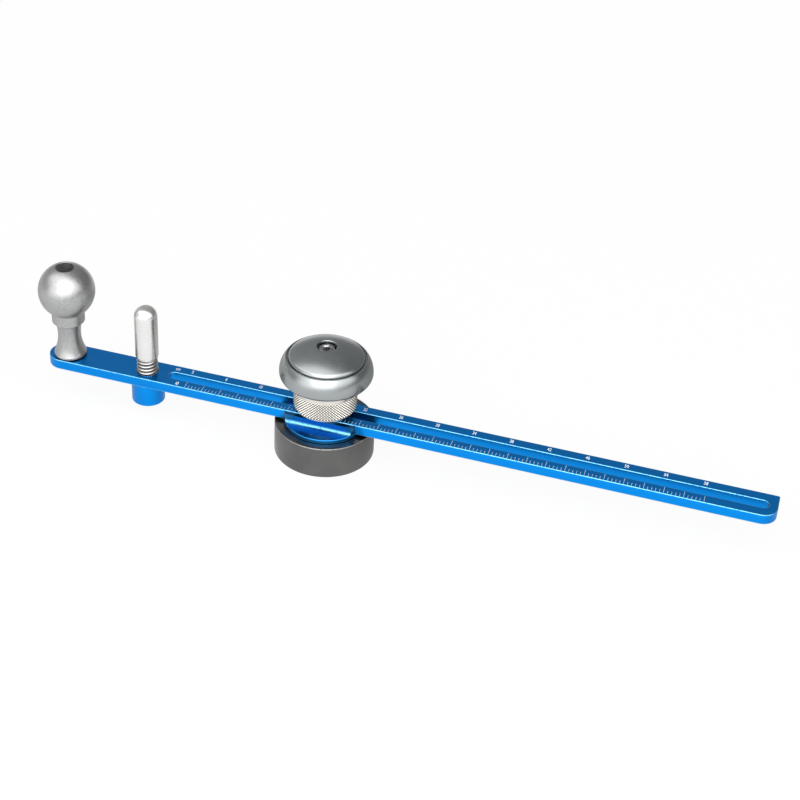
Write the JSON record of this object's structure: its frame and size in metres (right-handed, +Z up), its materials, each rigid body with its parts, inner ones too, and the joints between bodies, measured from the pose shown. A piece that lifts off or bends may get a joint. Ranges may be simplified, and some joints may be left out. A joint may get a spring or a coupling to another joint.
{
  "type": "circle cutter",
  "caption": "Glass and tile circle cutter: slotted scale beam sliding in a carriage on a weighted pivot base, with clamp nut, palm knob, screw-down cutter post and ball handle.",
  "frame": {"origin": "on the pivot axis, at the underside of the rubber pad that the base stands on", "axes": "+X along the beam from the cutter towards the free end, +Y across the beam away from the scale marks' edge, +Z up along the pivot axis"},
  "size_m": [0.4039, 0.0542, 0.083],
  "materials": {
    "blue_anodised": "blue anodised, satin gloss",
    "satin_aluminium": "turned and satin finished",
    "bright_steel": "ground bright",
    "nickel_plate": "nickel plated, diamond knurled grip",
    "dark_steel": "dark grey turned steel",
    "pad_rubber": "matt black",
    "bronze": "sintered bronze",
    "brass": "turned brass",
    "black_plastic": "black nylon"
  },
  "bodies": {
    "base": {"base_body": "dark_steel", "base_pad": "pad_rubber", "pivot_bush": "bronze"},
    "carriage": {"carriage": "blue_anodised", "hub_washer": "bright_steel", "hub_screw": "bright_steel", "pivot_stud": "bright_steel", "clamp_washer": "bright_steel", "knob_washer": "bright_steel", "knob_screw": "bright_steel"},
    "nut_ring": {"nut_ring": "brass"},
    "clamp_nut": {"clamp_nut": "nickel_plate"},
    "palm_knob": {"palm_knob": "satin_aluminium", "knob_bush": "bronze"},
    "beam": {"beam": "blue_anodised", "cutter_boss": "blue_anodised", "handle_washer": "black_plastic", "handle_screw": "bright_steel"},
    "ball_handle": {"ball_handle": "satin_aluminium", "handle_bushes": "bronze"},
    "thrust_ball": {"thrust_ball": "bright_steel"},
    "cutter_post": {"cutter_post": "bright_steel", "stem_ring": "bright_steel"},
    "wheel_holder": {"wheel_holder": "brass", "wheel_axle": "bright_steel"},
    "cutting_wheel": {"cutting_wheel": "bright_steel"}
  },
  "joints": [
    {"name": "arm_swing", "type": "hinge", "parent": "base", "child": "carriage", "pos_m": [0, 0, 0.0193], "axis": [0, 0, 1], "continuous": true},
    {"name": "beam_slide", "type": "slide", "parent": "carriage", "child": "beam", "axis": [1, 0, 0], "range_m": [-0.228, 0.066]},
    {"name": "nut_lift", "type": "slide", "parent": "carriage", "child": "nut_ring", "axis": [0, 0, 1], "range_m": [0, 0.0015]},
    {"name": "nut_turn", "type": "hinge", "parent": "nut_ring", "child": "clamp_nut", "pos_m": [0, 0, 0.0293], "axis": [0, 0, 1], "range_deg": [0, 370]},
    {"name": "knob_spin", "type": "hinge", "parent": "carriage", "child": "palm_knob", "pos_m": [0, 0, 0.0458], "axis": [0, 0, 1], "continuous": true},
    {"name": "handle_spin", "type": "hinge", "parent": "beam", "child": "ball_handle", "pos_m": [-0.1511, 0, 0.0272], "axis": [0, 0, 1], "continuous": true},
    {"name": "cutter_feed", "type": "slide", "parent": "beam", "child": "thrust_ball", "axis": [0, 0, 1], "range_m": [-0.0086, 0]},
    {"name": "post_turn", "type": "hinge", "parent": "thrust_ball", "child": "cutter_post", "pos_m": [-0.1039, 0, 0.0357], "axis": [0, 0, 1], "range_deg": [-1440, 0]},
    {"name": "holder_swivel", "type": "hinge", "parent": "thrust_ball", "child": "wheel_holder", "pos_m": [-0.1039, 0, 0.0154], "axis": [0, 0, 1], "continuous": true},
    {"name": "wheel_roll", "type": "hinge", "parent": "wheel_holder", "child": "cutting_wheel", "pos_m": [-0.1039, -0.0005, 0.0112], "axis": [1, 0, 0], "continuous": true}
  ],
  "couplings": [
    {"joint": "nut_turn", "follows": "nut_lift", "rad_per_m": 4188.8},
    {"joint": "post_turn", "follows": "cutter_feed", "rad_per_m": 2856}
  ]
}
